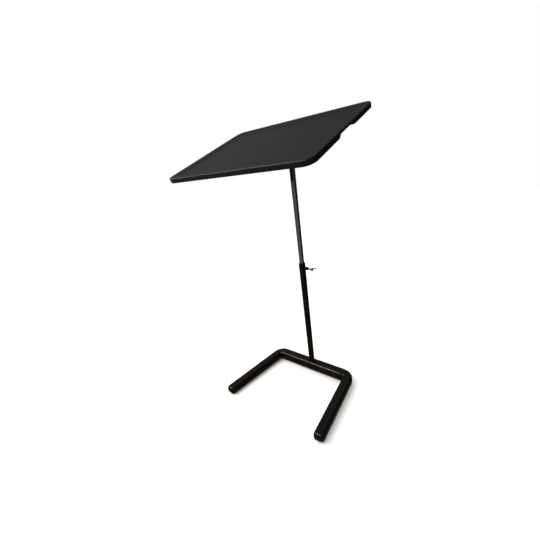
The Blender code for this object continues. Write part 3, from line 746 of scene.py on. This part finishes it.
def thread(bm, radius, low, high, matrix, pitch=0.001, depth=0.0005, segments=40):
    """A rod with a real screw thread."""
    steps = int((high - low) / pitch * 6)
    rings = []
    for level in range(steps + 1):
        height = low + (high - low) * level / steps
        fade = min(1.0, (height - low) / pitch, (high - height) / pitch)
        ring = []
        for step in range(segments):
            share = step / segments
            phase = (height / pitch - share) % 1.0
            here = radius - depth * (1 - fade) - depth * fade * abs(2 * phase - 1)
            angle = 2 * pi * share
            ring.append(matrix @ Vector((here * cos(angle), here * sin(angle), height)))
        rings.append(ring)
    loft(bm, rings)


def build_column():
    """The two tubes and the guide bush in the outer one's mouth."""
    tube_piece("outer_tube", "outer_column_tube", "base", "black_paint")
    tube_piece("chrome_tube", "inner_column_tube", "inner_column", "chrome")

    low, high = span("guide_bush", COLUMN)
    collar = span("outer_column_tube", COLUMN)[1].z + GAP
    bore = span("inner_column_tube", COLUMN)[1].x + GAP
    outline = [(BUSH_SLEEVE, low.z), (BUSH_SLEEVE, collar), (high.x, collar),
               (high.x, high.z), (bore, high.z), (bore, low.z)]
    profile = soften(outline, 0.0005, 4, closed=True)
    round_piece("guide_collar", profile, COLUMN, "base", "guide_bush", "nylon",
                closed=True, segments=96)


def cast(name, tools, cutters, voxel, slot):
    """Join rough solids into one casting: soft inner corners, soft edges."""
    shape = tools[0]
    if tools[1:]:
        boolean(shape, tools[1:], "UNION")
    remesh = shape.modifiers.new("remesh", "REMESH")
    remesh.mode = "VOXEL"
    remesh.voxel_size = voxel
    smooth = shape.modifiers.new("smooth", "SMOOTH")
    smooth.iterations = 3
    smooth.factor = 0.5
    bake(shape, 60)
    if cutters:
        boolean(shape, cutters, "DIFFERENCE", 40)
    shape.name = name
    shape.data.materials.clear()
    shape.data.materials.append(MATERIALS[slot])
    return shape


def strap(bm, radius, half_width, foot, low, high, matrix, steps=32):
    """A strap in Y and Z that ends in a round eye at the origin, between two places along X."""
    spread = radians(28)
    outline = [(half_width, foot)]
    way = -1 if foot > 0 else 1
    for step in range(steps + 1):
        angle = -spread + (pi + 2 * spread) * step / steps
        outline.append((radius * cos(angle), way * radius * sin(angle)))
    outline.append((-half_width, foot))
    loft(bm, [[matrix @ Vector((x, y, z)) for y, z in outline] for x in (low, high)])


def build_head():
    """The column's head: a plug and collar in the tube and the hinge eye above them."""
    head_high = span("column_head", COLUMN)[1]
    hinge_height = along(HINGE)
    tube_top = span("inner_column_tube", COLUMN)[1].z
    tube = span("inner_column_tube", COLUMN)[1].x
    collar = tube_top + GAP
    eye_half = head_high.x
    eye = head_high.z - hinge_height
    at_hinge = COLUMN @ Matrix.Translation((0, 0, hinge_height))
    bm = bmesh.new()
    turn(bm, [(tube, collar), (tube, collar + 0.0045), (tube - 0.001, collar + 0.0055)], COLUMN)
    shapes = [make_object("head", bm)]
    bm = bmesh.new()
    strap(bm, eye, NECK_HALF, collar + 0.002 - hinge_height, -NECK_THICK, NECK_THICK, at_hinge)
    shapes.append(make_object("neck", bm))
    profile = [(eye - 0.0006, -eye_half), (eye - 0.0001, 0.0005 - eye_half),
               (eye - 0.0001, eye_half - 0.0005), (eye - 0.0006, eye_half)]
    shapes.append(turned("eye", profile, at_hinge @ ALONG_X))
    bore = turned("bore", [(HEAD_BORE, -0.03), (HEAD_BORE, 0.03)], at_hinge @ ALONG_X)
    head = cast("hinge_head", shapes, [bore], 0.00045, "black_paint")
    foot, top = tube_top - PLUG_LENGTH, collar + 0.001
    profile = [(0.0005, foot), (PLUG_RADIUS, foot), (PLUG_RADIUS, top), (0.0005, top)]
    boolean(head, [turned("plug", soften(profile, 0.0008), COLUMN)], "UNION", 40)
    pin_place = COLUMN @ Matrix.Translation((0, 0, tube_top - CROSS_PIN_DROP)) @ ALONG_X
    pin_bore = turned("pin_bore", [(CROSS_PIN_BORE, -0.02), (CROSS_PIN_BORE, 0.02)], pin_place)
    boolean(head, [pin_bore], "DIFFERENCE", 40)
    place_piece(head, "inner_column", ["column_head"])


# ---------------------------------------------------------------- clamp
SCREW_RADIUS = 0.0030
WING_SPAN = 0.0175
HUB_START = 0.0330
HUB_END = 0.0492
HUB_RADIUS = 0.0054
SCREW_END = 0.0455
SCREW_BORE = 0.0033
PAD_BORE = 0.0040


def build_boss():
    """Black boss on the tube, with the bead that joins it."""
    high = span("clamp_boss", CLAMP_UPRIGHT)[1]
    radius = high.y
    end = high.x
    tube = span("outer_column_tube", COLUMN)[1].x
    profile = soften([(0.0005, 0.004), (radius, 0.004), (radius, end), (0.0005, end)], 0.0009, 5)
    boss = turned("boss", profile, CLAMP_LINE)
    reach = radius + GAP
    bm = bmesh.new()
    rings = []
    for step in range(48):
        angle = 2 * pi * step / 48
        out = Vector((0, cos(angle), sin(angle)))
        surface = (tube ** 2 - (reach * cos(angle)) ** 2) ** 0.5
        centre = Vector((surface + GAP, 0, 0)) + out * reach
        size = 0.0011 + 0.00012 * sin(9 * angle)
        ring = []
        for turn_step in range(10):
            phi = 2 * pi * turn_step / 10
            spot = centre + out * size * cos(phi) + Vector((size * sin(phi), 0, 0))
            ring.append(CLAMP_UPRIGHT @ spot)
        rings.append(ring)
    loft(bm, rings, closed=True)
    boolean(boss, [make_object("bead", bm)], "UNION", 40)
    profile = [(tube + GAP, along(CLAMP) - 0.03), (tube + GAP, along(CLAMP) + 0.03)]
    saddle = turned("saddle", profile, COLUMN, segments=96)
    bore = turned("bore", [(SCREW_BORE, 0.0), (SCREW_BORE, 0.04)], CLAMP_LINE, segments=40)
    pad_bore = turned("pad_bore", [(PAD_BORE, 0.0), (PAD_BORE, 0.018)], CLAMP_LINE, segments=40)
    boolean(boss, [saddle, bore, pad_bore], "DIFFERENCE", 40)
    boss.name = "clamp_socket"
    boss.data.materials.append(MATERIALS["black_paint"])
    place_piece(boss, "base", ["clamp_boss"])


def wing_blade(side):
    """One blade of the wing: it leaves the hub sideways, sweeps outward and thins to a round tip."""
    stations = (
        # outward along the screw, sideways, half chord, half thickness
        (0.0440, 0.0020, 0.0044, 0.0019),
        (0.0460, 0.0070, 0.0042, 0.0018),
        (0.0497, 0.0115, 0.0039, 0.0017),
        (0.0538, 0.0150, 0.0034, 0.0016),
        (0.0572, WING_SPAN - 0.0008, 0.0026, 0.0014),
        (0.0585, WING_SPAN, 0.0012, 0.0009),
    )
    lean = Vector((0.78, 0.62 * side, 0))
    across = Vector((-lean.y, lean.x, 0))
    rings = []
    for out, sideways, chord, thick in stations:
        centre = Vector((out, side * sideways, 0))
        ring = []
        for step in range(20):
            angle = 2 * pi * step / 20
            spot = centre + across * chord * cos(angle) + Vector((0, 0, thick * sin(angle)))
            ring.append(CLAMP_UPRIGHT @ spot)
        rings.append(ring)
    bm = bmesh.new()
    loft(bm, rings)
    return make_object("blade", bm)


def build_wing():
    """The two-armed wing, the screw that it turns and the pad at the screw's end."""
    hub = soften([(HUB_RADIUS - 0.0015, HUB_START), (HUB_RADIUS - 0.0007, HUB_START + 0.0008),
                  (HUB_RADIUS, HUB_START + 0.0080), (HUB_RADIUS, HUB_END - 0.0012),
                  (HUB_RADIUS - 0.0009, HUB_END)], 0.0006)
    shapes = [turned("hub", hub, CLAMP_LINE), wing_blade(-1), wing_blade(1)]
    profile = [(SCREW_RADIUS + GAP, 0.02), (SCREW_RADIUS + GAP, SCREW_END + GAP)]
    bore = turned("bore", profile, CLAMP_LINE, segments=40)
    wing = cast("wing_knob", shapes, [bore], 0.0004, "chrome")
    wing.data.materials[0] = cast_chrome()
    place_piece(wing, "clamp_screw", ["clamp_wing"])

    low, high = span("clamp_screw", CLAMP_LINE)
    bm = bmesh.new()
    thread(bm, SCREW_RADIUS, low.z, high.z, CLAMP_LINE)
    screw = make_object("threaded_screw", bm, MATERIALS["zinc_steel"])
    place_piece(screw, "clamp_screw", ["clamp_screw"])

    low, high = span("clamp_pad", CLAMP_LINE)
    profile = soften([(0.0004, low.z), (high.x, low.z), (high.x, high.z), (0.0004, high.z)], 0.0006)
    round_piece("nylon_clamp_pad", profile, CLAMP_LINE, "clamp_pad", "clamp_pad", "nylon", segments=40)


# ---------------------------------------------------------------- tray
TRAY_LOW, TRAY_HIGH = span("tray", TRAY)
TRAY_HALF = (TRAY_HIGH - TRAY_LOW) / 2
FLOOR_LEVEL = (Vector(MOUNTS["reading_surface"]["pos_m"]) - HINGE).dot(TRAY_NORMAL)
TRAY_CENTRE = Vector((0, (TRAY_LOW.y + TRAY_HIGH.y) / 2, FLOOR_LEVEL))
CREST = TRAY_HIGH.z - FLOOR_LEVEL
SKIRT = FLOOR_LEVEL - TRAY_LOW.z
TRAY_CORNER = 0.025
TRAY_FLOOR_CORNER = 0.018
TRAY_WALL = 0.0035
TRAY_FLOOR = 0.0045
RIM_CREST = 0.007
RIM_BEND = 0.0030
RIM_FOOT = 0.035
NOTCH_FRONT, NOTCH_BACK = -0.049, 0.049
NOTCH_FRONT_RUN, NOTCH_BACK_RUN = 0.010, 0.042
NOTCH_HEIGHT = 0.0061
STRAIGHT_X, STRAIGHT_Y = 0.19, 0.12    # half the straight run along each pair of sides


def slope(share):
    """A smooth step from 0 to 1."""
    share = min(max(share, 0.0), 1.0)
    return share * share * (3 - 2 * share)


def tray_outline(inset):
    """The tray's outline moved inward, with enough points along the sides to carry the notch."""
    share = min(inset / RIM_FOOT, 1.0)
    radius = TRAY_CORNER + (TRAY_FLOOR_CORNER - TRAY_CORNER) * share
    half_x = TRAY_HALF.x - inset
    half_y = TRAY_HALF.y - inset
    corners = rounded_rectangle(half_x, half_y, (radius,) * 4, 14)
    per_corner = len(corners) // 4
    runs = (
        [(STRAIGHT_X - 2 * STRAIGHT_X * step / 12, half_y) for step in range(13)],
        [(-half_x, STRAIGHT_Y - 2 * STRAIGHT_Y * step / 80) for step in range(81)],
        [(-STRAIGHT_X + 2 * STRAIGHT_X * step / 12, -half_y) for step in range(13)],
        [(half_x, -STRAIGHT_Y + 2 * STRAIGHT_Y * step / 80) for step in range(81)],
    )
    points = []
    for corner in range(4):
        points += corners[corner * per_corner:(corner + 1) * per_corner]
        points += runs[corner]
    return points


def notch_lift(x, y):
    """How far the skirt's lower edge is raised for the finger recess in the short sides."""
    if abs(x) < TRAY_HALF.x - RIM_CREST or abs(y) > STRAIGHT_Y:
        return 0.0
    rise = slope((y - NOTCH_FRONT) / NOTCH_FRONT_RUN) * slope((NOTCH_BACK - y) / NOTCH_BACK_RUN)
    return NOTCH_HEIGHT * rise


def tray_ring(inset, height, follow=0.0, ceiling=1.0):
    """One ring of the tray's skin. It follows the notch's rise by a share, up to a ceiling."""
    ring = []
    for x, y in tray_outline(inset):
        z = min(height + notch_lift(x, y) * follow, ceiling)
        ring.append(TRAY @ (TRAY_CENTRE + Vector((x, y, z))))
    return ring


def build_tray():
    """One skin: from the floor's underside, round the skirt and over the rim, to the dished floor."""
    under = CREST - TRAY_WALL
    fillet = 0.0010
    rings = []
    for step in range(25):
        share = 1 - step / 24
        inset = RIM_CREST + 0.001 + (RIM_FOOT - RIM_CREST) * share
        rings.append(tray_ring(inset, under + (-TRAY_FLOOR - under) * slope(share)))
    rings.append(tray_ring(TRAY_WALL + 0.0008, under))
    rings.append(tray_ring(TRAY_WALL, under - 0.0001))
    for step in range(5):
        angle = pi / 2 * step / 4
        inset = TRAY_WALL - fillet * (1 - cos(angle))
        height = -SKIRT + fillet * (1 - sin(angle))
        rings.append(tray_ring(inset, height, 1.0, under - 0.0002))
    for step in range(5):
        angle = pi / 2 * (1 - step / 4)
        height = -SKIRT + fillet * (1 - sin(angle))
        rings.append(tray_ring(fillet * (1 - cos(angle)), height, 1.0))
    wall = SKIRT + CREST - fillet - RIM_BEND
    for step in range(1, 4):
        rings.append(tray_ring(0.0, -SKIRT + fillet + wall * step / 4, 1 - step / 4))
    for step in range(9):
        angle = pi / 2 * step / 8
        height = CREST - RIM_BEND * (1 - sin(angle))
        rings.append(tray_ring(RIM_BEND * (1 - cos(angle)), height))
    rings.append(tray_ring((RIM_BEND + RIM_CREST) / 2, CREST))
    for step in range(31):
        share = step / 30
        inset = RIM_CREST + (RIM_FOOT - RIM_CREST) * share
        rings.append(tray_ring(inset, CREST * (1 - slope(share))))
    bm = bmesh.new()
    loft(bm, rings)
    tray = make_object("moulded_tray", bm, MATERIALS["soft_black"], 50)
    place_piece(tray, "tray", ["tray"])


# ---------------------------------------------------------------- tilt bracket
EAR_THICK = 0.004
DISC_THICK = 0.0015
PIVOT_RADIUS = 0.004
PIVOT_BORE = PIVOT_RADIUS + GAP
SHANK_RADIUS = {"bracket_screw": 0.0025, "plate_screw": 0.0020}


def plate_rings(low, high, corner, edge, matrix):
    """Rings of a flat plate with round corners and softened edges."""
    half_x, half_y = (high.x - low.x) / 2, (high.y - low.y) / 2
    middle_x, middle_y = (high.x + low.x) / 2, (high.y + low.y) / 2
    rings = []
    levels = ((edge, low.z), (edge * 0.3, low.z + edge * 0.3), (0, low.z + edge),
              (0, high.z - edge), (edge * 0.3, high.z - edge * 0.3), (edge, high.z))
    for inset, z in levels:
        outline = rounded_rectangle(half_x - inset, half_y - inset, (corner - inset,) * 4, 10)
        rings.append([matrix @ Vector((x + middle_x, y + middle_y, z)) for x, y in outline])
    return rings


def screw_nodes(kind):
    """The CAD nodes of one kind of screw."""
    return [name for name in frame["nodes"] if name.startswith(kind)]


def screw_holes(kinds, low, high, matrix):
    """One round cutter where each screw of these kinds passes."""
    tools = []
    for kind in kinds:
        for node in screw_nodes(kind):
            near, far = span(node, matrix)
            radius = SHANK_RADIUS[kind] + GAP
            place = matrix @ Matrix.Translation(((near.x + far.x) / 2, (near.y + far.y) / 2, 0))
            tools.append(turned("hole", [(radius, low), (radius, high)], place, segments=32))
    return tools


def build_plate_and_bracket():
    """The steel plate under the tray and the eared bracket screwed to it."""
    low, high = span("mounting_plate", TRAY)
    bm = bmesh.new()
    loft(bm, plate_rings(low, high, 0.012, 0.0006, TRAY))
    plate = make_object("steel_plate", bm, MATERIALS["black_paint"])
    holes = screw_holes(("bracket_screw", "plate_screw"), low.z - 0.01, high.z + 0.01, TRAY)
    boolean(plate, holes, "DIFFERENCE")
    place_piece(plate, "tray", ["mounting_plate"])

    bracket_low, bracket_high = span("tilt_bracket", TRAY)
    flange_low = bracket_high.z - 0.003
    bm = bmesh.new()
    flange = (Vector((bracket_low.x, bracket_low.y, flange_low)), bracket_high)
    loft(bm, plate_rings(*flange, 0.006, 0.0006, TRAY))
    bracket = make_object("ear_bracket", bm, MATERIALS["black_paint"])
    ear_low = span("column_head", COLUMN)[1].x + 2 * GAP + DISC_THICK
    radius = -bracket_low.z
    parts = []
    for side in (-1, 1):
        ends = sorted((side * ear_low, side * (ear_low + EAR_THICK)))
        bm = bmesh.new()
        strap(bm, radius, 0.0200, flange_low + 0.001, *ends, TRAY)
        ear = make_object("ear", bm)
        bevel = ear.modifiers.new("bevel", "BEVEL")
        bevel.width = 0.0005
        bevel.segments = 2
        bake(ear)
        parts.append(ear)
        for x in ends:
            bead = [(0.0004, -0.0195), (0.0014, -0.0187), (0.0016, 0.0),
                    (0.0014, 0.0187), (0.0004, 0.0195)]
            line = TRAY @ Matrix.Translation((x, 0, flange_low)) @ Matrix.Rotation(pi / 2, 4, "X")
            parts.append(turned("weld", bead, line, segments=16))
    boolean(bracket, parts, "UNION")
    tools = screw_holes(("bracket_screw",), flange_low - 0.01, bracket_high.z + 0.01, TRAY)
    tools.append(turned("ear_bore", [(PIVOT_BORE, -0.03), (PIVOT_BORE, 0.03)], PIVOT_LINE))
    boolean(bracket, tools, "DIFFERENCE")
    place_piece(bracket, "tray", ["tilt_bracket"])


def build_screws():
    """Round-headed screws with a cross recess, one for each CAD node."""
    for kind, radius in SHANK_RADIUS.items():
        head = radius * 1.9
        for node in screw_nodes(kind):
            low, high = span(node, TRAY)
            place = TRAY @ Matrix.Translation(((low.x + high.x) / 2, (low.y + high.y) / 2, low.z))
            length = high.z - low.z
            rise = radius * 1.1
            dome = [(0.0002, 0.0)]
            for step in range(1, 8):
                angle = pi / 2 * step / 7
                dome.append((head * sin(angle), rise * (1 - cos(angle))))
            profile = dome + [(head, rise), (radius, rise), (radius, length - 0.0005),
                              (radius - 0.0005, length)]
            steel = MATERIALS["zinc_steel"]
            screw = turned("cross_" + node, profile, place, steel, segments=40)
            tools = []
            for angle in (0, pi / 2):
                slot_turn = place @ Matrix.Rotation(angle + pi / 4, 4, "Z")
                half_long, half_thin = head * 0.52, head * 0.11
                bm = bmesh.new()
                rings = []
                for z, size in ((-0.001, 1.35), (rise * 0.72, 0.55)):
                    corners = ((-1, -1), (1, -1), (1, 1), (-1, 1))
                    rings.append([slot_turn @ Vector((x * half_long * size, y * half_thin, z))
                                  for x, y in corners])
                loft(bm, rings)
                tools.append(make_object("slot", bm))
            boolean(screw, tools, "DIFFERENCE", 30)
            place_piece(screw, "tray", [node])


def build_pivot():
    """The hinge bolt with its nut and friction discs."""
    bolt_low, bolt_high = span("pivot_bolt", PIVOT_LINE)
    head_radius = bolt_high.x
    shoulder = bolt_low.z + 0.005
    profile = soften([(0.0003, bolt_low.z), (head_radius, bolt_low.z), (head_radius, shoulder),
                      (PIVOT_RADIUS, shoulder), (PIVOT_RADIUS, 0.017)], 0.0008)
    profile.append((PIVOT_RADIUS - 0.0004, 0.0172))
    bolt = turned("hinge_bolt", profile, PIVOT_LINE)
    bm = bmesh.new()
    thread(bm, PIVOT_RADIUS, 0.0168, bolt_high.z, PIVOT_LINE)
    boolean(bolt, [make_object("bolt_thread", bm)], "UNION", 30)
    key_profile = [(0.0030, bolt_low.z - 0.01), (0.0030, bolt_low.z + 0.0028)]
    key = turned("key", key_profile, PIVOT_LINE, segments=6)
    boolean(bolt, [key], "DIFFERENCE", 30)
    bolt.data.materials.append(MATERIALS["zinc_steel"])
    place_piece(bolt, "tray", ["pivot_bolt"])

    low, high = span("pivot_nut", PIVOT_LINE)
    across = max(high.x, high.y)
    profile = [(across, low.z), (across, high.z)]
    nut = turned("hex_nut", profile, PIVOT_LINE, MATERIALS["zinc_steel"], segments=6)
    narrow, wide = across * 0.90, across * 1.06
    chamfer = [(0.0003, low.z), (narrow, low.z), (wide, low.z + 0.0012),
               (wide, high.z - 0.0012), (narrow, high.z), (0.0003, high.z)]
    tool = turned("chamfer", soften(chamfer, 0.0001, 1), PIVOT_LINE)
    boolean(nut, [tool], "INTERSECT", 30)
    bore = turned("nut_bore", [(PIVOT_BORE, 0.0), (PIVOT_BORE, 0.04)], PIVOT_LINE, segments=40)
    boolean(nut, [bore], "DIFFERENCE", 30)
    place_piece(nut, "tray", ["pivot_nut"])

    for node in ("friction_disc_left", "friction_disc_right"):
        low, high = span(node, PIVOT_LINE)
        outline = sleeve_outline(high.x, PIVOT_BORE, low.z, high.z, 0.0003)
        round_piece("lining_" + node, outline, PIVOT_LINE, "tray", node, "friction", closed=True)


def main():
    build_world()
    build_camera()
    build_stage()
    paint_cad_nodes()
    build_base()
    build_pads()
    build_column()
    build_head()
    build_boss()
    build_wing()
    build_tray()
    build_plate_and_bracket()
    build_screws()
    build_pivot()


bpy.context.scene.view_settings.view_transform = "Standard"
main()
